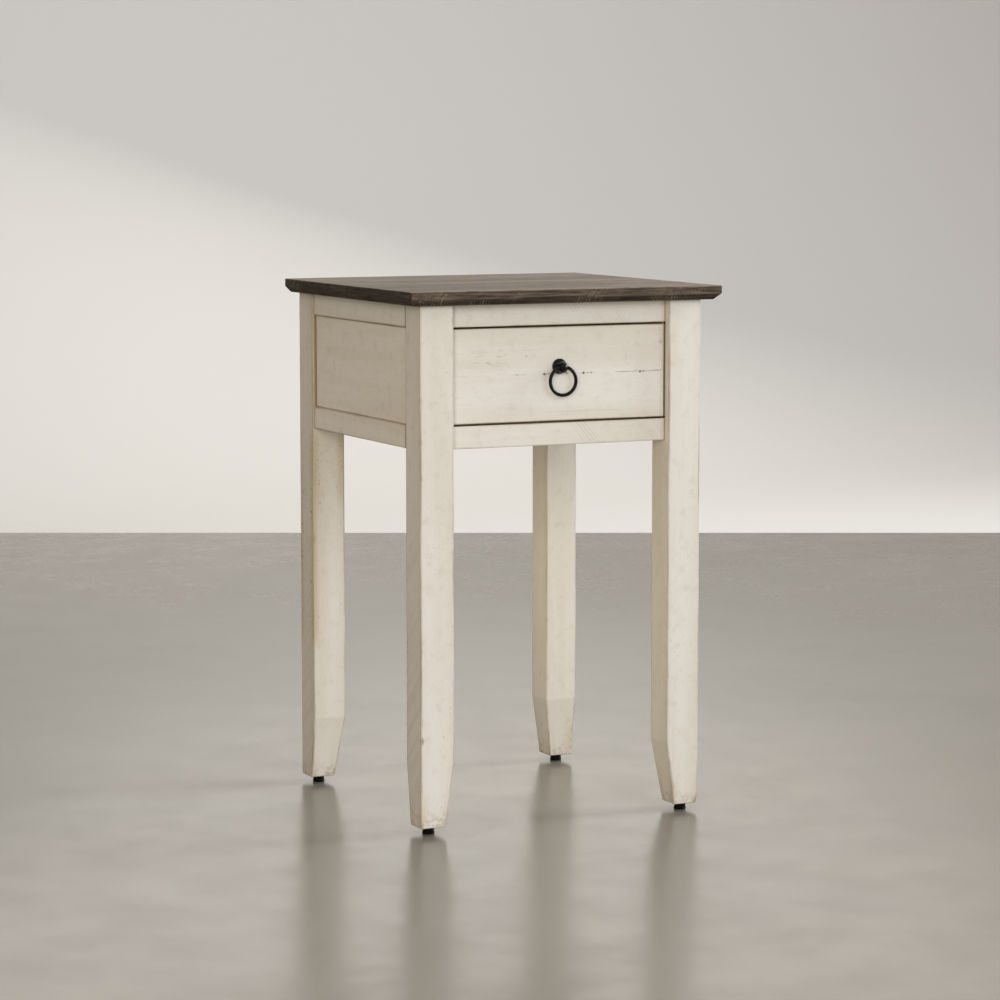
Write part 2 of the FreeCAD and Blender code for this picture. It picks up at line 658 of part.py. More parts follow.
# ---------------------------------------------------------------- assembly
def case_parts():
    """Every piece of the fixed body."""
    parts = {}
    front_span = (FACE_Y, FACE_Y + FRONT_RAIL_THICKNESS)
    back_span = (BACK_Y - RAIL_RECESS - SIDE_RAIL_THICKNESS, BACK_Y - RAIL_RECESS)
    left_span = (-LEG_X + RAIL_RECESS, -LEG_X + RAIL_RECESS + SIDE_RAIL_THICKNESS)
    left_panel = side_panel()
    parts["panel_left"] = left_panel
    parts["panel_right"] = mirrored(left_panel)
    parts["panel_back"] = back_panel()

    strips = cleats()
    upward_screws = top_screws(strips)
    sideways_screws = cleat_screws(strips)
    for level, bottom in RAIL_HEIGHTS.items():
        left_rail = rail_between_ends(left_span, bottom).cut(left_panel)
        parts["rail_left_" + level] = left_rail
        parts["rail_right_" + level] = mirrored(left_rail)
        parts["rail_back_" + level] = rail_between_sides(back_span, bottom).cut(parts["panel_back"])
        parts["rail_front_" + level] = rail_between_sides(front_span, bottom)
    for name in ("left", "right", "back", "front"):
        rail = "rail_" + name + "_top"
        parts[rail] = compound_cut(parts[rail], holes(sideways_screws))

    joinery = list(parts.values())
    for name, (side_x, side_y) in CORNERS.items():
        leg = compound_cut(leg_blank(side_x, side_y), joinery)
        sleeve = insert(side_x, side_y)
        parts["leg_" + name] = compound_cut(leg, [sleeve, stud_hole(side_x, side_y)])

    parts["table_top"] = compound_cut(table_top(), holes(upward_screws))
    for name, strip in strips.items():
        parts[name] = compound_cut(strip, holes(upward_screws + sideways_screws))

    case_screws = slide_case_screws()
    batten = compound_cut(slide_batten(), holes(case_screws))
    member = compound_cut(slide_outer(), holes(case_screws))
    parts["slide_batten_left"] = batten
    parts["slide_batten_right"] = mirrored(batten)
    parts["slide_case_left"] = member
    parts["slide_case_right"] = mirrored(member)

    groups = {
        "top_screws": solids_of(upward_screws),
        "cleat_screws": solids_of(sideways_screws),
        "slide_case_screws": solids_of(case_screws, both_sides=True),
        "leveller_inserts": [insert(*corner) for corner in CORNERS.values()],
    }
    return parts, groups


def drawer_parts():
    """Every piece that travels with the drawer, apart from the ring."""
    front_shoulder = BOX_FRONT_Y + BOARD
    back_shoulder = BOX_BACK_Y - BOARD
    front_pins = corner_pins(BOX_FRONT_Y, front_shoulder)
    back_pins = corner_pins(BOX_BACK_Y, back_shoulder)
    member_screws = slide_drawer_screws()
    face_screws = drawer_front_screws()
    screw = pull_screw()

    side = compound_cut(drawer_side(front_pins + back_pins), holes(member_screws))
    member = compound_cut(slide_inner(), holes(member_screws))
    box_front = drawer_cross_board(BOX_FRONT_Y, front_shoulder, front_pins)
    parts = {
        "drawer_front": compound_cut(drawer_front(), holes(face_screws) + [screw]),
        "drawer_box_front": compound_cut(box_front, holes(face_screws) + [screw]),
        "drawer_side_left": side,
        "drawer_side_right": mirrored(side),
        "drawer_back": drawer_cross_board(back_shoulder, BOX_BACK_Y, back_pins),
        "drawer_bottom": drawer_bottom(),
        "slide_drawer_left": member,
        "slide_drawer_right": mirrored(member),
        "pull_rosette": pull_rosette(),
        "pull_head": pull_head(),
        "pull_screw": screw,
        "pull_washer": pull_washer(),
    }
    groups = {
        "slide_drawer_screws": solids_of(member_screws, both_sides=True),
        "drawer_front_screws": solids_of(face_screws),
    }
    return parts, groups


def loose_parts():
    """The ring, the ball cages with their balls, and the feet."""
    cage = ball_cage()
    balls = [Part.makeSphere(BALL / 2, place) for place in ball_places()]
    parts = {
        "pull_ring": pull_ring(),
        "ball_cage_left": cage,
        "ball_cage_right": mirrored(cage),
    }
    groups = {
        "slide_balls_left": balls,
        "slide_balls_right": [mirrored(ball) for ball in balls],
    }
    for name, (side_x, side_y) in CORNERS.items():
        parts["leveller_pad_" + name] = leveller_pad(side_x, side_y)
        parts["leveller_stud_" + name] = leveller_stud(side_x, side_y)
    return parts, groups


def main():
    os.makedirs("parts", exist_ok=True)
    for parts, groups in (case_parts(), drawer_parts(), loose_parts()):
        for name, shape in parts.items():
            if len(shape.Solids) != 1:
                raise ValueError(name + " is not one solid")
            export(name, [shape])
        for name, shapes in groups.items():
            export(name, shapes)


main()
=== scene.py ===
import json
import math

import bmesh
import bpy
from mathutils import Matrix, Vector, noise


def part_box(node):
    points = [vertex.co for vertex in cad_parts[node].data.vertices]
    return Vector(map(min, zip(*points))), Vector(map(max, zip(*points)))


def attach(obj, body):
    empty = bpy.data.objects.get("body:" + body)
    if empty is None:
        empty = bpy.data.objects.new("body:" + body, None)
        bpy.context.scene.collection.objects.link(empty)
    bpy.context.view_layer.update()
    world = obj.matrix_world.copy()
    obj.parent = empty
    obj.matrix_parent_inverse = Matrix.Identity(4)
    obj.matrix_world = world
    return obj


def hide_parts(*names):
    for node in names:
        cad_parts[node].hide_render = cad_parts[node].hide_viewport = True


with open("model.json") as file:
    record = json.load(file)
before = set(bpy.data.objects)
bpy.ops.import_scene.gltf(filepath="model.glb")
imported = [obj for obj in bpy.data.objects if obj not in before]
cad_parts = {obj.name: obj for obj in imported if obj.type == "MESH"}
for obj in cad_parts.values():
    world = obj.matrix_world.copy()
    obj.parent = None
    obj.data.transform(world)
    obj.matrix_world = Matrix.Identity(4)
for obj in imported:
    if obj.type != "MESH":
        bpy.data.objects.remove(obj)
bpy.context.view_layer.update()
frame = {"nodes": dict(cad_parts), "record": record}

# Side table with one drawer.  Metres, +Z up, the front faces -Y, as in the frame.
MM = 0.001

# ---------------- named sizes
STEP = 3 * MM               # spacing of the sections along a board
ARC_STEPS = 3               # faces round an eased edge
LEG_EDGE = 0.9 * MM         # eased edges of the pieces, before wear
RAIL_EDGE = 0.7 * MM
PANEL_EDGE = 0.6 * MM
TOP_EDGE = 0.7 * MM
BOX_EDGE = 0.7 * MM
WEAR = 1.4 * MM             # how much deeper the worst knocks go into an edge
SAG = 0.12 * MM             # how far a hand-finished face dips between its edges
SHOULDER = 0.8 * MM         # a further line of points this far from each eased edge
WIDE_SIDE = 12 * MM         # on sides wider than this
CRACK_HALF_WIDTH = 0.7 * MM
SAWN_BELOW = 400 * MM       # height under which the legs' saw marks show
SAW_PITCH = 3.7 * MM        # spacing of the saw marks, square to them
GAP_REACH = 0.6 * MM        # painted shadow turns this far out of the gap round the drawer
GAP_DEPTH = 3.5 * MM        # and goes this far into it
PANEL_BORDER = 2 * MM       # glaze left along a panel's edges
TUCKED_END = 5.2 * MM       # glaze and painted shade left on the side boards, this far from a front leg

CAMERA_PLACE = (-1.6224, -3.4549, 0.7852)
CAMERA_YAW = 25.18          # degrees to the right of straight ahead
CAMERA_PITCH = -6.45
CAMERA_LENS = 117.57

LEGS = ("leg_front_left", "leg_front_right", "leg_back_left", "leg_back_right")

# stretches of the drawer front's cracked joint, along X: start, end, depth
CRACKS = (
    (-134 * MM, -112 * MM, 0.16 * MM),
    (-108 * MM, -84 * MM, 0.12 * MM),
    (-80 * MM, -62 * MM, 0.18 * MM),
    (-61 * MM, -40 * MM, 0.35 * MM),
    (-22 * MM, -3 * MM, 0.45 * MM),
    (5 * MM, 15 * MM, 0.45 * MM),
    (22 * MM, 47 * MM, 0.5 * MM),
    (70 * MM, 134 * MM, 0.6 * MM),
)
CRACK_RISE_AT = -71 * MM    # where the joint's line steps up a little
CRACK_RISE = 1.6 * MM
# knots and dents on the drawer front: x, height above the joint, radius, darkness
KNOTS = (
    (-52.7 * MM, 0.0, 1.6 * MM, 0.3),
    (-18.5 * MM, 0.0, 1.9 * MM, 1.0),
    (-12.6 * MM, 0.6 * MM, 1.2 * MM, 0.6),
    (9.2 * MM, 0.0, 1.5 * MM, 0.8),
    (30.7 * MM, -0.2 * MM, 1.9 * MM, 1.0),
    (35.8 * MM, -0.2 * MM, 1.1 * MM, 0.6),
    (40.3 * MM, 0.0, 1.3 * MM, 0.7),
    (102.9 * MM, -0.8 * MM, 1.9 * MM, 1.0),
    (107.6 * MM, -0.6 * MM, 1.2 * MM, 0.7),
    (129.2 * MM, 33.0 * MM, 3.2 * MM, 0.3),
    (-41.0 * MM, 20.5 * MM, 1.9 * MM, 0.3),
    (86.6 * MM, 33.6 * MM, 1.7 * MM, 0.14),
    (84.6 * MM, 17.6 * MM, 1.5 * MM, 0.12),
    (49.0 * MM, -28.4 * MM, 1.8 * MM, 0.15),
)

# knocked edges of the legs: corner (counted from the front left, anticlockwise), height, half
# length, extra depth
CHIPS = {
    "leg_front_left": ((0, 108 * MM, 5 * MM, 2.4 * MM), (0, 12 * MM, 5 * MM, 1.5 * MM)),
    "leg_front_right": ((1, 9 * MM, 8 * MM, 5.0 * MM), (0, 30 * MM, 5 * MM, 1.2 * MM)),
    "leg_back_left": ((1, 14 * MM, 6 * MM, 2.0 * MM), (0, 300 * MM, 8 * MM, 2.0 * MM)),
    "leg_back_right": ((1, 40 * MM, 8 * MM, 2.0 * MM),),
}
# a row of saw notches on one edge of a leg: corner, lowest, highest, spacing, depth
NOTCHES = {"leg_front_left": (3, 20 * MM, 235 * MM, 10.8 * MM, 5.4 * MM)}
DEEP_DENT = 2.4 * MM        # a dent this deep shows full glaze
# paint rubbed through at a leg's edges: side (-1 left, 1 right, 0 both), lowest, highest, amount
RUBBED = {
    "leg_front_left": ((0, 8 * MM, 45 * MM, 0.55),),
    "leg_front_right": ((0, 8 * MM, 40 * MM, 0.75),),
    "leg_back_left": ((-1, 170 * MM, 430 * MM, 1.0), (1, 340 * MM, 430 * MM, 0.8),
                      (0, 8 * MM, 30 * MM, 0.5)),
    "leg_back_right": ((1, 10 * MM, 55 * MM, 0.9), (0, 8 * MM, 25 * MM, 0.5)),
}


# ---------------- reading the frame
def node_points(name):
    """Corner points of a CAD node at rest."""
    return [vertex.co for vertex in frame["nodes"][name].data.vertices]


def body_of(node):
    """The CAD body a node belongs to."""
    for body, nodes in frame["record"]["behaviour"]["bodies"].items():
        if node in nodes:
            return body
    raise ValueError("no body holds " + node)


# ---------------- shader graphs
class Graph:
    """A material's node tree, with one method for each kind of node that is used."""

    def __init__(self, name):
        self.material = bpy.data.materials.new(name)
        self.material.use_nodes = True
        self.tree = self.material.node_tree
        self.tree.nodes.clear()

    def plug(self, socket, value):
        """Join an output to an input, or set the input to a constant."""
        if isinstance(value, bpy.types.NodeSocket):
            self.tree.links.new(value, socket)
        elif socket.type == "RGBA":
            socket.default_value = (*value, 1.0)
        else:
            socket.default_value = value

    def add(self, kind, **inputs):
        """A new node, its inputs given by name with _ for a space."""
        made = self.tree.nodes.new(kind)
        for name, value in inputs.items():
            self.plug(made.inputs[name.replace("_", " ")], value)
        return made

    def position(self):
        """A point's place in the piece's own frame, which is the row frame at rest."""
        return self.add("ShaderNodeTexCoord").outputs["Object"]

    def attribute(self, name):
        """A mesh's own float attribute, or zero where it has none."""
        made = self.tree.nodes.new("ShaderNodeAttribute")
        made.attribute_name = name
        return made.outputs["Fac"]

    def scaled(self, vector, scale, turn=(0, 0, 0), shift=(0, 0, 0)):
        """A vector stretched along each axis, turned in degrees and shifted."""
        made = self.add("ShaderNodeMapping", Vector=vector, Scale=scale, Location=shift)
        made.inputs["Rotation"].default_value = [math.radians(angle) for angle in turn]
        return made.outputs[0]

    def math(self, operation, first, second=0.0):
        """One step of arithmetic on one or two values."""
        made = self.tree.nodes.new("ShaderNodeMath")
        made.operation = operation
        self.plug(made.inputs[0], first)
        self.plug(made.inputs[1], second)
        return made.outputs[0]

    def ramp(self, value, low, high, result_low=0.0, result_high=1.0):
        """Smooth step from one result to another between two values."""
        made = self.tree.nodes.new("ShaderNodeMapRange")
        made.interpolation_type = "SMOOTHSTEP"
        for socket, number in zip(made.inputs, (value, low, high, result_low, result_high)):
            self.plug(socket, number)
        return made.outputs[0]

    def noise(self, vector, scale, detail=3.0, roughness=0.5):
        """Cloudy noise between zero and one."""
        made = self.add("ShaderNodeTexNoise", Vector=vector, Scale=scale, Detail=detail,
                        Roughness=roughness)
        return made.outputs["Fac"]

    def product(self, vector, direction):
        """How far each point lies along a direction."""
        made = self.tree.nodes.new("ShaderNodeVectorMath")
        made.operation = "DOT_PRODUCT"
        self.plug(made.inputs[0], vector)
        self.plug(made.inputs[1], direction)
        return made.outputs["Value"]

    def distance(self, vector, centre):
        """How far each point lies from a centre."""
        made = self.tree.nodes.new("ShaderNodeVectorMath")
        made.operation = "DISTANCE"
        self.plug(made.inputs[0], vector)
        self.plug(made.inputs[1], centre)
        return made.outputs["Value"]

    def total(self, *values):
        """Sum of several values."""
        result = values[0]
        for value in values[1:]:
            result = self.math("ADD", result, value)
        return result

    def times(self, *values):
        """Product of several values."""
        result = values[0]
        for value in values[1:]:
            result = self.math("MULTIPLY", result, value)
        return result

    def bands(self, vector, scale, distortion, detail):
        """Ragged bands that repeat along X."""
        made = self.add("ShaderNodeTexWave", Vector=vector, Scale=scale, Distortion=distortion,
                        Detail=detail)
        made.bands_direction = "X"
        return made.outputs["Fac"]

    def blend(self, factor, first, second):
        """Mix two colours."""
        made = self.tree.nodes.new("ShaderNodeMix")
        made.data_type = "RGBA"
        colour_inputs = [socket for socket in made.inputs if socket.type == "RGBA"]
        self.plug(made.inputs[0], factor)
        self.plug(colour_inputs[0], first)
        self.plug(colour_inputs[1], second)
        return [socket for socket in made.outputs if socket.type == "RGBA"][0]

    def bump(self, height, distance):
        """A normal tilted by a height, which stands for this distance at one."""
        return self.add("ShaderNodeBump", Height=height, Distance=distance, Strength=1.0).outputs[0]

    def finish(self, colour, roughness, normal=None, metallic=0.0, specular=0.5):
        """Feed everything into the shader and give back the finished material."""
        shader = self.add("ShaderNodeBsdfPrincipled", Base_Color=colour, Roughness=roughness,
                          Metallic=metallic)
        shader.inputs["Specular IOR Level"].default_value = specular
        if normal is not None:
            self.plug(shader.inputs["Normal"], normal)
        output = self.tree.nodes.new("ShaderNodeOutputMaterial")
        self.tree.links.new(shader.outputs[0], output.inputs[0])
        return self.material


def srgb(red, green, blue):
    """A colour given in 0-255 display values, as linear light."""
    def linear(value):
        value /= 255
        return value / 12.92 if value <= 0.04045 else ((value + 0.055) / 1.055) ** 2.4
    return tuple(linear(value) for value in (red, green, blue))


# ---------------- materials
LONG = {0: (0.08, 1, 1), 1: (1, 0.08, 1), 2: (1, 1, 0.08)}   # stretches a pattern along the grain
FALLING = (0.78, 0.3, 0.62)     # across saw marks that fall to the right, seen from the front
RISING = (0.72, -0.72, -0.69)   # across saw marks that rise to the right, seen from front or left

PAINT = srgb(225, 217, 207)
PAINT_SHADE = srgb(216, 207, 193)
PAINT_STREAK = srgb(188, 176, 152)
SAW_SHADE = srgb(176, 162, 138)
# brown glaze; also the colour of the painted shade in the case's corners and beside the legs
GLAZE_AND_SHADE = srgb(132, 105, 72)
GLAZE_DEEP = srgb(74, 56, 40)
# colour of the painted shadow in the gap round the drawer
PAINTED_GAP_SHADOW = srgb(16, 12, 9)
RUBBED_PAINT = srgb(188, 166, 128)
PIT_SHADE = srgb(104, 82, 58)
CRACK_SHADE = srgb(84, 68, 49)
SMUDGE_SHADE = srgb(150, 134, 108)


def saw_marks(graph, place, across, pitch=SAW_PITCH, everywhere=0.0):
    """Wavering saw marks square to a direction, each of its own strength, in patches.

    Outside the patches the marks keep the share given as everywhere.
    """
    travel = graph.math("DIVIDE", graph.product(place, across), pitch)
    waver = graph.times(graph.noise(place, 18.0, 2.0), 1.6)
    travel = graph.total(travel, waver)
    wave = graph.math("SINE", graph.times(travel, 2 * math.pi))
    line = graph.ramp(wave, -0.2, 1.0)
    single = graph.add("ShaderNodeCombineXYZ", X=travel, Y=0.37, Z=0.61).outputs[0]
    strength = graph.ramp(graph.noise(single, 0.8, 1.0), 0.38, 0.68, 0.1, 1.0)
    patches = graph.ramp(graph.noise(place, 16.0, 2.0), 0.46, 0.66, 0.04, 1.0)
    return graph.times(line, strength, graph.math("MAXIMUM", patches, everywhere))


def tucked_glaze_and_shade(graph, place, grain):
    """Glaze and painted shade in the corners between the side rails, the panels and the legs.

    Boards along Y have it where they meet a front leg, and the back legs beside the panels.
    """
    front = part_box("leg_front_left")[1].y
    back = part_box("leg_back_left")[0].y
    lower, upper = case_lines()["z"]
    y, z = (graph.product(place, axis) for axis in ((0, 1, 0), (0, 0, 1)))
    if grain == 1:
        return graph.ramp(y, front + TUCKED_END, front + TUCKED_END + 1.4 * MM, 1.0, 0.0)
    beside_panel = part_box("panel_right")[1].x
    across = graph.math("ABSOLUTE", graph.product(place, (1, 0, 0)))
    by_panel = graph.times(
        graph.ramp(z, lower, lower + 1 * MM),
        graph.ramp(z, upper - 1 * MM, upper, 1.0, 0.0),
        graph.ramp(across, beside_panel + 1.5 * MM, beside_panel + 4 * MM, 1.0, 0.0))
    return graph.times(by_panel, graph.ramp(y, back + 0.2 * MM, back + 1.4 * MM, 1.0, 0.0),
                       graph.ramp(y, back - 1 * MM, back - 0.5 * MM))


def painted_gap_shadow(graph, place):
    """Share of painted shadow in the mouth of the gap round the drawer front, less at its sides."""
    low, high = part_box("drawer_front")
    opening_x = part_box("leg_front_right")[0].x
    opening_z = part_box("rail_front_bottom")[1].z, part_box("rail_front_top")[0].z
    x, y, z = (graph.product(place, axis) for axis in ((1, 0, 0), (0, 1, 0), (0, 0, 1)))

    def within(value, start, end):
        return graph.times(graph.ramp(value, start - GAP_REACH, start - GAP_REACH / 2),
                           graph.ramp(value, end + GAP_REACH / 2, end + GAP_REACH, 1.0, 0.0))

    across = graph.math("ABSOLUTE", x)
    above_or_below = graph.math("MAXIMUM", within(z, opening_z[0], low.z),
                                within(z, high.z, opening_z[1]))
    in_level_gap = graph.times(above_or_below, within(across, 0, opening_x))
    in_side_gap = graph.times(within(across, high.x, opening_x), within(z, *opening_z))
    mouth = within(y, low.y, low.y + GAP_DEPTH)
    in_gap = graph.math("MAXIMUM", in_level_gap, graph.times(in_side_gap, 0.52))
    return graph.times(in_gap, mouth)


def paint_coat(graph, place, along, across, painted_light_gain):
    """The coat itself, with faint streaks, saw marks and flecks: its colour, relief and roughness."""
    clouds = graph.noise(along, 22.0, 4.0, 0.6)
    # a gain above one lightens the coat: painted light on the side boards
    light = [value * painted_light_gain for value in PAINT]
    shade = [value * painted_light_gain for value in PAINT_SHADE]
    colour = graph.blend(graph.ramp(clouds, 0.35, 0.68), light, shade)
    blotches = graph.noise(place, 75.0, 4.0, 0.6)
    colour = graph.blend(graph.ramp(blotches, 0.5, 0.8, 0.0, 0.35), colour, PAINT_STREAK)
    fibres = graph.noise(along, 520.0, 3.0, 0.6)
    colour = graph.blend(graph.ramp(fibres, 0.52, 0.8, 0.0, 0.2), colour, PAINT_STREAK)

    sawn = graph.attribute("sawn")
    rough = graph.ramp(sawn, 0.9, 1.7, 0.0, 0.8)
    lines = graph.times(saw_marks(graph, place, across, everywhere=rough), sawn)
    colour = graph.blend(graph.times(lines, 0.34), colour, SAW_SHADE)

    flecks = graph.noise(graph.scaled(place, (1, 1, 1), shift=(3, 5, 7)), 330.0, 2.0, 0.45)
    where = graph.ramp(graph.noise(place, 11.0, 2.0), 0.54, 0.70)
    fleck = graph.times(graph.ramp(flecks, 0.66, 0.74), where)
    colour = graph.blend(graph.times(fleck, 0.32), colour, GLAZE_AND_SHADE)

    relief = graph.total(graph.times(fibres, 0.3), graph.times(lines, -0.9), graph.times(fleck, -0.8))
    return colour, relief, graph.ramp(clouds, 0.3, 0.7, 0.44, 0.56)


def edge_glaze(graph, ragged, border):
    """Share of glaze that shows along a board's eased edges, or over a panel's border."""
    to_edge = graph.attribute("edge_distance")
    if border:
        edge = graph.times(graph.ramp(to_edge, 0.0, border, 1.0, 0.0),
                           graph.ramp(ragged, 0.25, 0.6, 0.5, 1.0))
        return graph.times(edge, 0.85)
    edge = graph.times(graph.ramp(to_edge, 0.1 * MM, 1.4 * MM, 1.0, 0.0),
                       graph.ramp(ragged, 0.4, 0.66, 0.25, 0.9))
    return graph.times(edge, 0.65)


def end_glaze(graph, place, ragged, grain, border):
    """Share of glaze at a board's ends: in the joints, with a wider band at rail and drawer ends that
    is glaze and painted shadow of the proud legs, and on the legs where they near the floor.
    """
    to_end = graph.attribute("end_distance")
    if border:
        joint = graph.ramp(to_end, 0.8 * MM, 3.0 * MM, 1.15, 0.0)
        return graph.times(joint, 0.85)
    thin_joint = graph.ramp(to_end, 0.5 * MM, (3.0 if grain == 1 else 1.6) * MM, 1.3, 0.0)
    if grain == 2:
        low_down = graph.ramp(graph.product(place, (0, 0, 1)), 10 * MM, 32 * MM, 0.42, 0.0)
        specks = graph.ramp(graph.noise(place, 190.0, 3.0), 0.46, 0.62, 0.15, 1.0)
        stain = graph.times(low_down, specks)
        joint = graph.math("MAXIMUM", graph.times(thin_joint, 0.5), stain)
        return graph.times(joint, 0.85)
    # wide band at the ends: glaze and painted shadow of the proud legs
    wide_glaze_and_leg_shadow = graph.ramp(to_end, 0.0, 9 * MM, 0.35, 0.0)
    joint = graph.times(graph.math("MAXIMUM", thin_joint, wide_glaze_and_leg_shadow),
                        graph.ramp(ragged, 0.3, 0.6, 0.7, 1.0))
    return graph.times(joint, 0.85)


def rubbed_paint(graph, place, along, colour):
    """Adds the dents, the rubbed edges and their pits; also says where the pits are."""
    worn = graph.attribute("worn")
    to_edge = graph.attribute("edge_distance")
    colour = graph.blend(graph.times(graph.attribute("dent"), 0.5), colour, GLAZE_AND_SHADE)
    rub_noise = graph.noise(along, 60.0, 4.0, 0.7)
    beside_edge = graph.ramp(to_edge, 0.5 * MM, 13.0 * MM, 1.0, 0.0)
    rub = graph.times(worn, beside_edge, graph.ramp(rub_noise, 0.3, 0.65, 0.25, 1.0))
    colour = graph.blend(graph.times(rub, 0.7), colour, RUBBED_PAINT)
    pit_noise = graph.noise(graph.scaled(place, (1, 1, 0.6)), 380.0, 3.0, 0.6)
    off_edge = graph.times(graph.ramp(to_edge, 1.0 * MM, 4.0 * MM, 0.25, 1.0),
                           graph.ramp(to_edge, 8.0 * MM, 12.0 * MM, 1.0, 0.25))
    clusters = graph.ramp(graph.noise(place, 42.0, 2.0), 0.42, 0.6)
    pits = graph.times(graph.ramp(pit_noise, 0.58, 0.68), worn, off_edge, clusters)
    return graph.blend(graph.times(pits, 0.9), colour, PIT_SHADE), pits


def drawer_marks(graph, place, colour):
    """Adds the drawer front's cracked joint, smudges and knots; also says where the knots are."""
    colour = graph.blend(graph.attribute("crack"), colour, CRACK_SHADE)
    colour = graph.blend(smudges(graph, place), colour, SMUDGE_SHADE)
    spot = knot_spots(graph, place)
    return graph.blend(graph.times(spot, 0.85), colour, GLAZE_DEEP), spot


def cream_paint(name, grain, across, border=0.0, marked=False, painted_light_gain=1.0):
    """Distressed cream paint over brown glaze.

    The grain runs along an axis and the saw marks lie square to a direction.  A border is the
    width of the glaze that stays along a panel's edges.  Marked paint carries the drawer front's
    crack and knots.  A gain above one lightens the coat, as painted light on the side boards.
    """
    graph = Graph(name)
    place = graph.position()
    along = graph.scaled(place, LONG[grain])
    ragged = graph.noise(along, 90.0, 4.0, 0.65)
    colour, relief, roughness = paint_coat(graph, place, along, across, painted_light_gain)
    # painted shadow in the mouth of the gap round the drawer front
    colour = graph.blend(painted_gap_shadow(graph, place), colour, PAINTED_GAP_SHADOW)
    colour = graph.blend(edge_glaze(graph, ragged, border), colour, GLAZE_AND_SHADE)
    colour = graph.blend(end_glaze(graph, place, ragged, grain, border), colour, GLAZE_AND_SHADE)
    if grain:
        # glaze and painted shade in the corners beside the legs
        tucked = graph.times(tucked_glaze_and_shade(graph, place, grain), 0.85)
        colour = graph.blend(tucked, colour, GLAZE_AND_SHADE)
    colour, pits = rubbed_paint(graph, place, along, colour)
    relief = graph.total(relief, graph.times(pits, -1.2))
    if marked:
        colour, spot = drawer_marks(graph, place, colour)
        relief = graph.total(relief, graph.times(spot, -2.0))
    return graph.finish(colour, roughness, graph.bump(relief, 0.14 * MM), specular=0.4)


def smudges(graph, place):
    """Faint dashes along the grain: a cluster up and left of the pull, thinner ones elsewhere."""
    low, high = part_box("drawer_front")
    dashes = graph.noise(graph.scaled(place, (0.35, 1, 1)), 210.0, 4.0, 0.7)
    centre = (-84 * MM, low.y, (low.z + high.z) / 2 + 19 * MM)
    spread = graph.distance(graph.scaled(place, (0.5, 1, 1)), (centre[0] / 2, centre[1], centre[2]))
    cluster = graph.ramp(spread, 6 * MM, 20 * MM, 1.0, 0.0)
    elsewhere = graph.ramp(graph.noise(place, 22.0, 2.0), 0.52, 0.7, 0.0, 0.5)
    where = graph.math("MAXIMUM", cluster, elsewhere)
    lines = graph.noise(graph.scaled(place, (0.03, 1, 1)), 150.0, 3.0, 0.6)
    streak = graph.ramp(lines, 0.6, 0.72, 0.0, 0.25)
    return graph.math("MAXIMUM", graph.times(graph.ramp(dashes, 0.54, 0.70), where, 0.4), streak)


def knot_spots(graph, place):
    """Soft round spots at the drawer front's knots and dents."""
    low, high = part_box("drawer_front")
    joint_height = (low.z + high.z) / 2
    ragged = graph.noise(place, 420.0, 2.0)
    spots = None
    for x, rise, radius, darkness in KNOTS:
        apart = graph.distance(place, (x, low.y, joint_height + rise))
        edge = graph.math("SUBTRACT", 1.6 * radius, graph.times(ragged, radius))
        spot = graph.ramp(graph.math("DIVIDE", apart, edge), 0.3, 1.0, darkness, 0.0)
        spots = spot if spots is None else graph.math("MAXIMUM", spots, spot)
    return spots


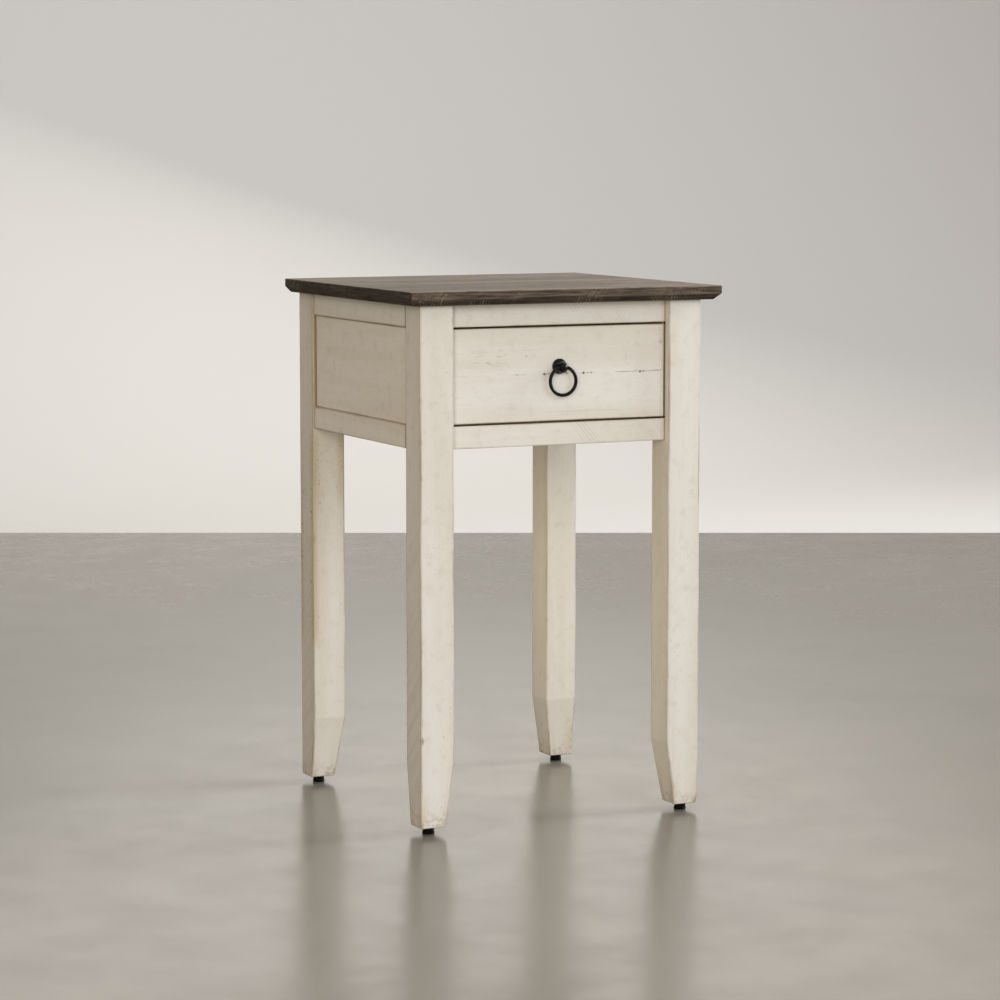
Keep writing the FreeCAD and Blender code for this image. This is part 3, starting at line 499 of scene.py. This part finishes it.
def dark_stain():
    """Dark stained, rough-sawn top: grain along X, its saw marks scuffed pale on the edges."""
    graph = Graph("dark_stain")
    place = graph.position()
    low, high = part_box("table_top")
    figure = graph.noise(graph.scaled(place, (0.05, 1, 1)), 60.0, 5.0, 0.6)
    colour = graph.blend(graph.ramp(figure, 0.3, 0.7), srgb(61, 50, 42), srgb(118, 103, 88))
    strands = graph.noise(graph.scaled(place, (0.03, 1, 1)), 260.0, 4.0, 0.7)
    colour = graph.blend(graph.ramp(strands, 0.42, 0.66, 0.0, 0.7), colour, srgb(140, 124, 107))
    broad = graph.noise(graph.scaled(place, (0.10, 1, 1), shift=(2, 4, 6)), 24.0, 4.0, 0.65)
    colour = graph.blend(graph.ramp(broad, 0.46, 0.64, 0.0, 0.55), colour, srgb(152, 137, 120))
    pores = graph.noise(graph.scaled(place, (0.05, 0.7, 1)), 900.0, 3.0, 0.6)
    colour = graph.blend(graph.ramp(pores, 0.48, 0.68, 0.0, 0.85), colour, srgb(32, 26, 22))

    height = graph.product(place, (0, 0, 1))
    rim = graph.ramp(height, high.z - 1.2 * MM, high.z - 0.4 * MM, 1.0, 0.0)
    streaks = graph.noise(graph.scaled(place, (0.05, 0.05, 1)), 420.0, 4.0, 0.65)
    rim_colour = graph.blend(graph.ramp(streaks, 0.3, 0.7), srgb(42, 34, 28), srgb(105, 90, 75))
    side = graph.product(place, (1, 0, 0))
    # painted shade: the top's left end is darkened, as it faces away from the window light
    shaded = graph.ramp(side, low.x + 1.2 * MM, low.x + 0.3 * MM, 0.0, 0.55)
    rim_colour = graph.blend(shaded, rim_colour, srgb(26, 20, 17))
    # painted shade: the bevel under the top's edges is darkened
    painted_bevel_shade = graph.ramp(height, low.z + 5.2 * MM, low.z + 7.0 * MM, 0.42, 0.0)
    rim_colour = graph.blend(painted_bevel_shade, rim_colour, srgb(16, 12, 10))
    colour = graph.blend(rim, colour, rim_colour)

    lines = saw_marks(graph, place, RISING, 2.6 * MM)
    dots = graph.noise(place, 420.0, 3.0, 0.6)
    scratch = graph.times(lines, graph.ramp(dots, 0.42, 0.58), rim)
    corner = Vector((low.x, low.y, high.z - 6 * MM))
    near_corner = graph.ramp(graph.distance(place, corner), 6 * MM, 30 * MM, 1.0, 0.0)
    sparks = graph.times(graph.ramp(dots, 0.60, 0.70), near_corner, rim)
    scratch = graph.math("MAXIMUM", scratch, sparks)
    colour = graph.blend(graph.times(scratch, 0.62), colour, srgb(166, 152, 138))

    dashes = graph.noise(graph.scaled(place, (0.25, 1, 1)), 300.0, 2.0, 0.4)
    dash = graph.times(graph.ramp(dashes, 0.68, 0.76),
                       graph.ramp(graph.noise(place, 14.0, 1.0), 0.5, 0.7))
    colour = graph.blend(graph.times(dash, 0.5), colour, srgb(150, 140, 128))

    along = graph.scaled(place, (0.1, 0.1, 1))
    rub = graph.times(graph.ramp(graph.attribute("edge_distance"), 0.0, 1.4 * MM, 1.0, 0.0),
                      graph.ramp(graph.noise(along, 120.0, 3.0), 0.48, 0.66))
    colour = graph.blend(graph.times(rub, 0.4), colour, srgb(122, 104, 88))
    relief = graph.total(graph.times(pores, -0.6), graph.times(scratch, 0.5),
                         graph.times(lines, -0.3), graph.times(figure, 0.4))
    normal = graph.bump(relief, 0.15 * MM)
    roughness = graph.ramp(figure, 0.3, 0.7, 0.56, 0.68)
    return graph.finish(colour, roughness, normal, specular=0.2)


def bare_wood(grain, tone=1.0):
    """Pale sealed hardwood for the drawer box and the hidden strips."""
    graph = Graph("bare_wood_" + "xyz"[grain] + ("" if tone == 1.0 else "_deep"))
    place = graph.position()
    along = graph.scaled(place, LONG[grain])
    rings = graph.bands(graph.scaled(place, LONG[grain], turn=(4, 3, 5)), 34.0, 2.5, 3.0)
    light = [value * tone for value in srgb(212, 188, 150)]
    dark = [value * tone for value in srgb(192, 162, 122)]
    colour = graph.blend(graph.times(rings, 0.7), light, dark)
    fibres = graph.noise(along, 480.0, 4.0, 0.6)
    colour = graph.blend(graph.ramp(fibres, 0.48, 0.7, 0.0, 0.55), colour, srgb(158, 126, 88))
    normal = graph.bump(graph.total(fibres, graph.times(rings, 0.3)), 0.1 * MM)
    return graph.finish(colour, graph.ramp(fibres, 0.3, 0.7, 0.5, 0.62), normal, specular=0.35)


def zinc_steel():
    """Zinc-plated sheet: fine drawing lines along Y and cloudy spangle."""
    graph = Graph("zinc_steel")
    place = graph.position()
    cloud = graph.noise(place, 70.0, 3.0)
    colour = graph.blend(graph.ramp(cloud, 0.35, 0.65), srgb(176, 180, 186), srgb(205, 206, 206))
    lines = graph.noise(graph.scaled(place, (1, 0.03, 1)), 900.0, 2.0)
    normal = graph.bump(lines, 0.03 * MM)
    return graph.finish(colour, graph.ramp(cloud, 0.3, 0.7, 0.28, 0.42), normal, metallic=1.0)


def polished_steel():
    """Bearing balls."""
    graph = Graph("polished_steel")
    haze = graph.noise(graph.position(), 300.0, 2.0)
    return graph.finish(srgb(200, 201, 205), graph.ramp(haze, 0.3, 0.7, 0.08, 0.16), metallic=1.0)


def black_metal():
    """Satin black casting: fine orange-peel skin, worn slightly brown in places."""
    graph = Graph("black_metal")
    place = graph.position()
    worn = graph.noise(place, 160.0, 3.0)
    colour = graph.blend(graph.ramp(worn, 0.45, 0.75), srgb(22, 20, 18), srgb(54, 46, 38))
    skin = graph.noise(place, 1400.0, 2.0)
    normal = graph.bump(skin, 0.03 * MM)
    roughness = graph.ramp(worn, 0.3, 0.7, 0.20, 0.34)
    return graph.finish(colour, roughness, normal, metallic=0.45)


def black_plastic():
    """Moulded foot: fine spark-eroded grain."""
    graph = Graph("black_plastic")
    place = graph.position()
    grain = graph.noise(place, 1800.0, 2.0)
    dust = graph.noise(place, 120.0, 3.0)
    colour = graph.blend(graph.ramp(dust, 0.5, 0.8), srgb(12, 11, 10), srgb(30, 27, 24))
    return graph.finish(colour, graph.ramp(dust, 0.3, 0.7, 0.45, 0.6), graph.bump(grain, 0.04 * MM),
                        specular=0.2)


def studio_floor():
    """Plain pale floor with a sheen and soft clouding, and a paler sheet laid over it at the back."""
    graph = Graph("studio_floor")
    place = graph.position()
    cloud = graph.noise(place, 1.6, 5.0, 0.65)
    mottle = graph.noise(place, 9.0, 5.0, 0.7)
    clouded = [value * 0.90 for value in FLOOR_TONE]
    mottled = [value * 0.88 for value in FLOOR_TONE]
    colour = graph.blend(graph.ramp(cloud, 0.35, 0.65), FLOOR_TONE, clouded)
    colour = graph.blend(graph.ramp(mottle, 0.35, 0.7, 0.0, 0.5), colour, mottled)
    turn = math.radians(CAMERA_YAW)
    away = graph.product(place, (math.sin(turn), math.cos(turn), 0))
    sheet = graph.ramp(away, SHEET_START, SHEET_START + 0.01)
    colour = graph.blend(sheet, colour, SHEET_TONE)
    roughness = graph.total(graph.ramp(mottle, 0.3, 0.7, 0.20, 0.27), graph.times(sheet, 0.5))
    return graph.finish(colour, roughness)


# ---------------- building boards
def wide_sides(corners):
    """For each side of an outline, whether it has room for shoulder points."""
    places = [Vector(corner[:2]) for corner in corners]
    return [(places[(index + 1) % len(places)] - place).length > WIDE_SIDE
            for index, place in enumerate(places)]


def section_loop(corners, wide, sag):
    """Outline of a section, with arcs at its rounded corners and a point midway along each side.

    A corner is (u, v, radius), and one with no radius stays a plain point.  Wide sides get a
    shoulder point beside each arc, and the points midway dip inwards by the sag.  Each point
    carries its distance to the nearest rounded corner.
    """
    rounded = [Vector(corner[:2]) for corner in corners if corner[2] > 0]
    middle_of_all = sum(rounded, Vector((0, 0))) / len(rounded)
    loop = []
    for index, (u, v, radius) in enumerate(corners):
        here = Vector((u, v))
        before = Vector(corners[index - 1][:2])
        after_corner = corners[(index + 1) % len(corners)]
        after = Vector(after_corner[:2])
        if radius <= 0:
            loop.append((u, v, min((here - corner).length for corner in rounded)))
            continue
        back, on = (before - here).normalized(), (after - here).normalized()
        start = here + back * radius
        end = here + on * radius
        if wide[index - 1]:
            shoulder = start + back * SHOULDER
            loop.append((shoulder.x, shoulder.y, SHOULDER))
        for step in range(ARC_STEPS + 1):
            share = step / ARC_STEPS
            point = start * (1 - share) ** 2 + here * 2 * share * (1 - share) + end * share ** 2
            loop.append((point.x, point.y, 0.0))
        if wide[index]:
            shoulder = end + on * SHOULDER
            loop.append((shoulder.x, shoulder.y, SHOULDER))
        if after_corner[2] > 0:
            middle = (here + after) / 2
            inwards = Vector((after.y - here.y, here.x - after.x)).normalized()
            if inwards.dot(middle_of_all - middle) < 0:
                inwards.negate()
            middle += inwards * sag
            loop.append((middle.x, middle.y, (after - here).length / 2))
    return loop


def in_frame(axis, along, u, v):
    """A point from its place along an axis and its two places across, in X, Y, Z order."""
    across = [u, v]
    across.insert(axis, along)
    return across


def new_piece(name, points, faces, attributes=None):
    """A smooth-shaded mesh object with one float attribute per entry of attributes."""
    mesh = bpy.data.meshes.new(name)
    mesh.from_pydata(points, [], faces)
    for key, values in (attributes or {}).items():
        mesh.attributes.new(key, "FLOAT", "POINT").data.foreach_set("value", values)
    shape = bmesh.new()
    shape.from_mesh(mesh)
    bmesh.ops.recalc_face_normals(shape, faces=shape.faces)
    shape.to_mesh(mesh)
    shape.free()
    mesh.shade_smooth()
    piece = bpy.data.objects.new(name, mesh)
    bpy.context.scene.collection.objects.link(piece)
    piece.modifiers.new("flat_sides", "WEIGHTED_NORMAL")
    return piece


def loft(name, axis, sections, extras):
    """A solid through sections along an axis: each is (place, corners of its outline).

    The extras are further attributes, each a function of a point or a constant.
    """
    start, stop = sections[0][0], sections[-1][0]
    points, edge, end = [], [], []
    wide = wide_sides(sections[len(sections) // 2][1])
    for along, corners in sections:
        seed = Vector((along * 25, corners[0][0] * 90, corners[0][1] * 90))
        sag = SAG * (1 + noise.noise(seed)) / 2
        loop = section_loop(corners, wide, sag)
        ring_size = len(loop)
        for u, v, to_edge in loop:
            points.append(in_frame(axis, along, u, v))
            edge.append(to_edge)
            end.append(min(along - start, stop - along))
    faces = []
    for ring in range(len(sections) - 1):
        for index in range(ring_size):
            following = (index + 1) % ring_size
            low, high = ring * ring_size, (ring + 1) * ring_size
            faces.append((low + index, low + following, high + following, high + index))
    last = (len(sections) - 1) * ring_size
    faces.append(tuple(range(ring_size)))
    faces.append(tuple(last + index for index in range(ring_size)))
    attributes = {"edge_distance": edge, "end_distance": end}
    for key, value_at in extras.items():
        attributes[key] = [value_at(point) if callable(value_at) else value_at for point in points]
    return new_piece(name, points, faces, attributes)


def places_along(start, stop, end_radius, breaks=()):
    """Section places from start to stop, each with how far the section draws in at a rounded end."""
    places = []
    for step in range(ARC_STEPS + 1):
        angle = math.radians(90 * step / ARC_STEPS)
        offset = end_radius * (1 - math.cos(angle))
        inset = end_radius * (1 - math.sin(angle))
        places.append((start + offset, inset))
        places.append((stop - offset, inset))
    inner = stop - start - 2 * end_radius
    count = max(2, round(inner / STEP))
    places += [(start + end_radius + inner * index / count, 0.0) for index in range(1, count)]
    places += [(value, 0.0) for value in breaks]
    return sorted(places)


def eased(radius, along, seed, wear=1.0):
    """Radius of an edge at a place along it: it wavers, and knocks cut deeper here and there."""
    waver = noise.noise(Vector((along * 40, seed * 7.31, 0.5)))
    knock = noise.noise(Vector((along * 150, seed * 3.17, 9.5)))
    deeper = max(0.0, knock - 0.32) / 0.68
    return radius * (1 + 0.35 * waver) + WEAR * wear * deeper


def board(name, low, high, axis, radius, seed, extras, end_radius=None, wear=1.0):
    """A worn-edged rectangular board along an axis, between two corners."""
    side_u, side_v = [index for index in range(3) if index != axis]
    sections = []
    end_radius = radius if end_radius is None else end_radius
    for along, inset in places_along(low[axis], high[axis], end_radius):
        u_low, u_high = low[side_u] + inset, high[side_u] - inset
        v_low, v_high = low[side_v] + inset, high[side_v] - inset
        outline = ((u_low, v_low), (u_high, v_low), (u_high, v_high), (u_low, v_high))
        sections.append((along, [(u, v, eased(radius, along, seed + corner, wear))
                                 for corner, (u, v) in enumerate(outline)]))
    return loft(name, axis, sections, extras)


def dress(piece, node, material):
    """Give a new piece its material and body, and let it stand for its CAD node."""
    piece.data.materials.append(material)
    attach(piece, body_of(node))
    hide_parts(node)
    return piece


# ---------------- the table's wooden pieces
def dent_depth(node, corner, height):
    """How much a chip or a saw notch widens one edge of a leg at a height."""
    depth = 0.0
    for chipped, middle, half, deepest in CHIPS[node]:
        if chipped == corner:
            apart = abs(height - middle) / half
            depth += deepest * max(0.0, 1 - apart) ** 0.7
    if node in NOTCHES:
        notched, lowest, highest, spacing, deepest = NOTCHES[node]
        if notched == corner and lowest < height < highest:
            turn = math.cos(2 * math.pi * (height - lowest) / spacing)
            strength = 0.45 + 0.9 * noise.noise(Vector((height * 37, 0.0, 3.3)))
            depth += deepest * max(0.0, strength) * max(0.0, turn) ** 2
    return depth


def leg_wear(node, middle_x):
    """A function of a point that says how rubbed the paint is there."""
    def worn(point):
        amount = 0.12
        for side, lowest, highest, value in RUBBED[node]:
            fade = min(point[2] - lowest, highest - point[2]) / (25 * MM) + 0.4
            on_side = side == 0 or (point[0] - middle_x) * side > 0
            if on_side:
                amount = max(amount, value * min(1.0, max(0.0, fade)))
        return amount
    return worn


def sawn_amount(point, left_face):
    """How strongly the saw marks show on a leg: most on a rough left face, low down."""
    lower = min(1.0, max(0.0, (SAWN_BELOW - point[2]) / (120 * MM)))
    return 0.15 + lower * (1.6 if point[0] < left_face else 0.3)


def build_leg(node, material, seed):
    """Square leg with worn edges, tapered on its two inner faces."""
    low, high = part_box(node)
    points = node_points(node)
    inner_x, outer_x = (high.x, low.x) if low.x < 0 else (low.x, high.x)
    inner_y, outer_y = (high.y, low.y) if low.y < 0 else (low.y, high.y)
    close = 0.1 * MM
    taper_top = min(point.z for point in points if abs(point.x - inner_x) < close)
    tip = max(abs(point.x - outer_x) for point in points if point.z < low.z + close)
    full = abs(inner_x - outer_x)

    def outline_at(height, inset=0.0):
        share = min(1.0, (height - low.z) / (taper_top - low.z))
        width = tip + (full - tip) * share
        x_span = sorted((outer_x, outer_x + math.copysign(width, inner_x - outer_x)))
        y_span = sorted((outer_y, outer_y + math.copysign(width, inner_y - outer_y)))
        x_low, x_high = x_span[0] + inset, x_span[1] - inset
        y_low, y_high = y_span[0] + inset, y_span[1] - inset
        return (x_low, y_low), (x_high, y_low), (x_high, y_high), (x_low, y_high)

    def dented(point):
        """Share of the deepest dent at a point beside a dented edge."""
        for corner, (x, y) in enumerate(outline_at(point[2])):
            depth = dent_depth(node, corner, point[2])
            if abs(point[0] - x) + abs(point[1] - y) < depth + 1.7 * LEG_EDGE:
                return min(1.0, depth / DEEP_DENT)
        return 0.0

    sections = []
    for along, inset in places_along(low.z, high.z, LEG_EDGE, breaks=[taper_top]):
        sections.append((along, [
            (x, y, eased(LEG_EDGE, along, seed + corner) + dent_depth(node, corner, along))
            for corner, (x, y) in enumerate(outline_at(along, inset))]))
    left_face = low.x + LEG_EDGE if low.x < 0 else low.x - LEG_EDGE
    extras = {
        "dent": dented,
        "worn": leg_wear(node, (low.x + high.x) / 2),
        "sawn": lambda point: sawn_amount(point, left_face),
    }
    return dress(loft(node + "_wood", 2, sections, extras), node, material)


def case_lines():
    """Inner faces of the legs and rails, which bound the openings of the case."""
    front_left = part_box("leg_front_left")
    back_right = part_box("leg_back_right")
    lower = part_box("rail_left_bottom")[1].z
    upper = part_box("rail_left_top")[0].z
    return {
        "x": (front_left[1].x, back_right[0].x),
        "y": (front_left[1].y, back_right[0].y),
        "z": (lower, upper),
    }


def build_rail(node, material, seed, lines):
    """Rail between two legs, without the tenons that they hide."""
    low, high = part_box(node)
    axis = 1 if ("left" in node or "right" in node) else 0
    low[axis], high[axis] = lines["xyz"[axis]]
    extras = {"worn": 0.1, "sawn": 0.8 if "front" in node else 0.2}
    piece = board(node + "_wood", low, high, axis, RAIL_EDGE, seed, extras, 0.5 * MM, 0.6)
    return dress(piece, node, material)


def build_panel(node, material, seed, lines):
    """As much of a panel as shows inside its frame."""
    low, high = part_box(node)
    axis = 0 if node == "panel_back" else 1
    low[axis], high[axis] = lines["xyz"[axis]]
    low.z, high.z = lines["z"]
    extras = {"worn": 0.05, "sawn": 0.1}
    piece = board(node + "_wood", low, high, axis, PANEL_EDGE, seed, extras, wear=0.2)
    return dress(piece, node, material)


def build_top(material):
    """Top with the bevel under its front and side edges."""
    node = "table_top"
    low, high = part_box(node)
    points = node_points(node)
    close = 0.1 * MM
    bevel_in = min(point.x for point in points if point.z < low.z + close) - low.x
    bevel_rise = min(point.z for point in points if point.x < low.x + close) - low.z

    def edge_radius(along, corner, share):
        """Radius of an edge, kept small where the bevel closes in on the top's ends."""
        room = 0.45 * bevel_in * (1.06 - share)
        return min(eased(TOP_EDGE, along, 70 + corner, 0.5), room)

    sections = []
    breaks = [low.x + bevel_in, high.x - bevel_in]
    for along, inset in places_along(low.x, high.x, TOP_EDGE, breaks):
        to_end = min(along - low.x, high.x - along)
        share = min(0.94, max(0.0, 1 - to_end / bevel_in))
        under = low.z + bevel_rise * share
        front = low.y + inset
        outline = (
            (low.y + inset + bevel_in * (1 - share), under),
            (front, low.z + bevel_rise),
            (front, high.z - inset),
            (high.y - inset, high.z - inset),
            (high.y - inset, under),
        )
        sections.append((along, [(y, z, edge_radius(along, corner, share))
                                 for corner, (y, z) in enumerate(outline)]))
    return dress(loft(node + "_wood", 0, sections, {}), node, material)


def crack_line(x):
    """How far the drawer front's joint wanders off its level at a place along it."""
    rise = CRACK_RISE * math.exp(-((x - CRACK_RISE_AT) / (7 * MM)) ** 2)
    return rise + 0.35 * MM * noise.noise(Vector((x * 30, 1.7, 0.0)))


def crack_depth(x):
    """How deep the drawer front's joint has opened at a place along it."""
    for start, end, depth in CRACKS:
        if start < x < end:
            fade = min(1.0, (x - start) / (4 * MM), (end - x) / (4 * MM))
            ragged = 0.55 + 0.45 * noise.noise(Vector((x * 260, 4.4, 0.0)))
            return depth * fade * ragged
    return 0.0


def build_drawer_front(material):
    """Inset board with its cracked joint along the middle."""
    node = "drawer_front"
    low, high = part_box(node)
    joint = (low.z + high.z) / 2
    worst = max(depth for _, _, depth in CRACKS)
    sections = []
    for along, inset in places_along(low.x, high.x, RAIL_EDGE):
        front, back = low.y + inset, high.y - inset
        middle = joint + crack_line(along)
        radii = [eased(RAIL_EDGE, along, 90 + corner, 0.5) for corner in range(4)]
        outline = [
            (back, low.z + inset, radii[0]),
            (front, low.z + inset, radii[1]),
            (front, middle - CRACK_HALF_WIDTH, 0),
            (front + crack_depth(along), middle, 0),
            (front, middle + CRACK_HALF_WIDTH, 0),
            (front, high.z - inset, radii[2]),
            (back, high.z - inset, radii[3]),
        ]
        sections.append((along, outline))

    def crack_share(point):
        off_joint = point[2] - joint - crack_line(point[0])
        on_joint = abs(off_joint) < 0.1 * MM and point[1] < (low.y + high.y) / 2
        return crack_depth(point[0]) / worst if on_joint else 0.0

    extras = {"crack": crack_share, "worn": 0.1, "sawn": 0.25}
    return dress(loft(node + "_wood", 0, sections, extras), node, material)


def build_softened(node, material, width):
    """A joined or grooved board in its exact CAD shape, with eased edges."""
    source = frame["nodes"][node].data
    mesh = source.copy()
    shape = bmesh.new()
    shape.from_mesh(mesh)
    bmesh.ops.remove_doubles(shape, verts=shape.verts, dist=0.01 * MM)
    bmesh.ops.dissolve_limit(shape, angle_limit=math.radians(1), verts=shape.verts,
                             edges=shape.edges)
    shape.to_mesh(mesh)
    shape.free()
    mesh.materials.clear()
    piece = bpy.data.objects.new(node + "_wood", mesh)
    bpy.context.scene.collection.objects.link(piece)
    bevel = piece.modifiers.new("eased_edges", "BEVEL")
    bevel.width = width
    bevel.segments = 2
    bevel.limit_method = "ANGLE"
    bevel.angle_limit = math.radians(30)
    mesh.shade_smooth()
    piece.modifiers.new("flat_sides", "WEIGHTED_NORMAL")
    return dress(piece, node, material)


# ---------------- the pull
def build_ring(material):
    """Loose ring, round in section."""
    node = "pull_ring"
    low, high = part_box(node)
    centre = (low + high) / 2
    wire = (high.y - low.y) / 2
    radius = (high.x - low.x) / 2 - wire
    turns, around = 96, 20
    points, faces = [], []
    for turn in range(turns):
        angle = 2 * math.pi * turn / turns
        for step in range(around):
            tilt = 2 * math.pi * step / around
            reach = radius + wire * math.cos(tilt)
            points.append((centre.x + reach * math.sin(angle), centre.y + wire * math.sin(tilt),
                           centre.z + reach * math.cos(angle)))
            next_turn = (turn + 1) % turns
            next_step = (step + 1) % around
            faces.append((turn * around + step, next_turn * around + step,
                          next_turn * around + next_step, turn * around + next_step))
    return dress(new_piece("ring", points, faces), node, material)


def repaint(node, material):
    """Keep a CAD node and give it a better material."""
    mesh_object = frame["nodes"][node]
    mesh_object.data.materials.clear()
    mesh_object.data.materials.append(material)


# ---------------- studio
FLOOR_TONE = (0.212, 0.192, 0.159)
SHEET_TONE = (0.74, 0.73, 0.705)
SHEET_START = 2.55          # from the table's middle, straight away from the camera


def build_floor():
    """Floor that sweeps up into a backdrop well behind the table."""
    half_width, front, back = 30.0, -16.0, 4.4
    sweep, height = 1.6, 6.0
    steps = 12
    profile = [(front, 0.0), (back - sweep, 0.0)]
    for step in range(1, steps + 1):
        angle = math.radians(90 * step / steps)
        profile.append((back - sweep + sweep * math.sin(angle), sweep * (1 - math.cos(angle))))
    profile.append((back, height))
    points = [(x, y, z) for y, z in profile for x in (-half_width, half_width)]
    faces = [(2 * i, 2 * i + 1, 2 * i + 3, 2 * i + 2) for i in range(len(profile) - 1)]
    mesh = bpy.data.meshes.new("floor")
    mesh.from_pydata(points, [], faces)
    mesh.shade_smooth()
    floor = bpy.data.objects.new("floor", mesh)
    bpy.context.scene.collection.objects.link(floor)
    mesh.materials.append(studio_floor())


def area_light(name, place, target, size, power, tint=(1, 1, 1), glossy=True):
    """A round soft light that the camera never sees; without gloss it leaves no glare either."""
    data = bpy.data.lights.new(name, "AREA")
    data.shape = "DISK"
    data.size = size
    data.energy = power
    data.color = tint
    light = bpy.data.objects.new(name, data)
    light.location = place
    light.visible_camera = False
    light.visible_glossy = glossy
    light.rotation_euler = (Vector(target) - Vector(place)).to_track_quat("-Z", "Y").to_euler()
    bpy.context.scene.collection.objects.link(light)


def build_lights():
    """Window light from the right, fills in front, a sheen from behind and a bounce below."""
    middle = (0, 0, 0.3)
    area_light("window", (3.2, -0.5, 1.7), middle, 1.5, 105, (0.92, 1.03, 1.07))
    area_light("front_fill", (0.4, -4.2, 1.52), middle, 3.0, 51, (0.80, 0.96, 1.27), glossy=False)
    area_light("left_fill", (-2.3, -3.8, 1.15), middle, 2.2, 82, (1.08, 1.05, 0.87), glossy=False)
    area_light("back_sheen", (1.35, 2.9, 2.3), middle, 3.6, 31, (1.0, 0.95, 0.87))
    under_apron = (-0.11, 0.05, 0.26)
    area_light("bounce", under_apron, (0.14, 0.06, 0.25), 0.2, 0.18, (1.1, 1.02, 0.74), glossy=False)
    world = bpy.data.worlds.new("studio")
    world.use_nodes = True
    background = world.node_tree.nodes["Background"]
    background.inputs["Color"].default_value = (1.0, 0.90, 0.84, 1)
    background.inputs["Strength"].default_value = 0.49
    bpy.context.scene.world = world


def build_camera():
    """Camera at the front left, a little above the table's top."""
    data = bpy.data.cameras.new("camera")
    data.lens = CAMERA_LENS
    data.sensor_width = 36
    data.clip_end = 100
    camera = bpy.data.objects.new("camera", data)
    camera.location = CAMERA_PLACE
    camera.rotation_euler = (math.radians(90 + CAMERA_PITCH), 0, math.radians(-CAMERA_YAW))
    bpy.context.scene.collection.objects.link(camera)
    bpy.context.scene.camera = camera


# ---------------- assembly
def build_wood():
    """Everything painted or stained: legs, rails, panels, top and drawer front."""
    paint = [
        cream_paint("cream_rails_across", 0, FALLING),
        # the side rails' copy of the paint is lightened, as painted light
        cream_paint("cream_rails_deep", 1, FALLING, painted_light_gain=1.1),
        cream_paint("cream_legs", 2, RISING),
    ]
    panel_paint = [
        cream_paint("cream_panel_across", 0, FALLING, PANEL_BORDER),
        # the side panels' copy of the paint is lightened, as painted light
        cream_paint("cream_panel_deep", 1, FALLING, PANEL_BORDER, painted_light_gain=1.12),
    ]
    lines = case_lines()
    for index, node in enumerate(LEGS):
        build_leg(node, paint[2], 10 * index)
    for index, side in enumerate(("front", "back", "left", "right")):
        axis = 1 if side in ("left", "right") else 0
        for level in ("top", "bottom"):
            seed = 100 + 20 * index + (10 if level == "top" else 0)
            build_rail("rail_" + side + "_" + level, paint[axis], seed, lines)
    for index, node in enumerate(("panel_left", "panel_right", "panel_back")):
        build_panel(node, panel_paint[0 if node == "panel_back" else 1], 200 + 10 * index, lines)
    build_top(dark_stain())
    build_drawer_front(cream_paint("cream_drawer_front", 0, FALLING, marked=True))


def build_hidden_wood():
    """The drawer's box and the strips inside the case."""
    along_x, along_y = bare_wood(0), bare_wood(1)
    for node in ("drawer_box_front", "drawer_back", "cleat_front", "cleat_back"):
        build_softened(node, along_x, BOX_EDGE)
    for node in ("drawer_side_left", "drawer_side_right", "cleat_left", "cleat_right",
                 "slide_batten_left", "slide_batten_right"):
        build_softened(node, along_y, BOX_EDGE)
    repaint("drawer_bottom", bare_wood(0, 0.92))


def build_metal():
    """The pull, the slides, the screws and the feet."""
    finishes = {"black_metal": black_metal(), "zinc_steel": zinc_steel(),
                "polished_steel": polished_steel(), "black_plastic": black_plastic()}
    build_ring(finishes["black_metal"])
    for row in frame["record"]["subparts"]:
        if row["material_slot"] in finishes and row["node"] != "pull_ring":
            repaint(row["node"], finishes[row["material_slot"]])


build_camera()
build_floor()
build_lights()
build_wood()
build_hidden_wood()
build_metal()
bpy.context.scene.view_settings.view_transform = "Standard"
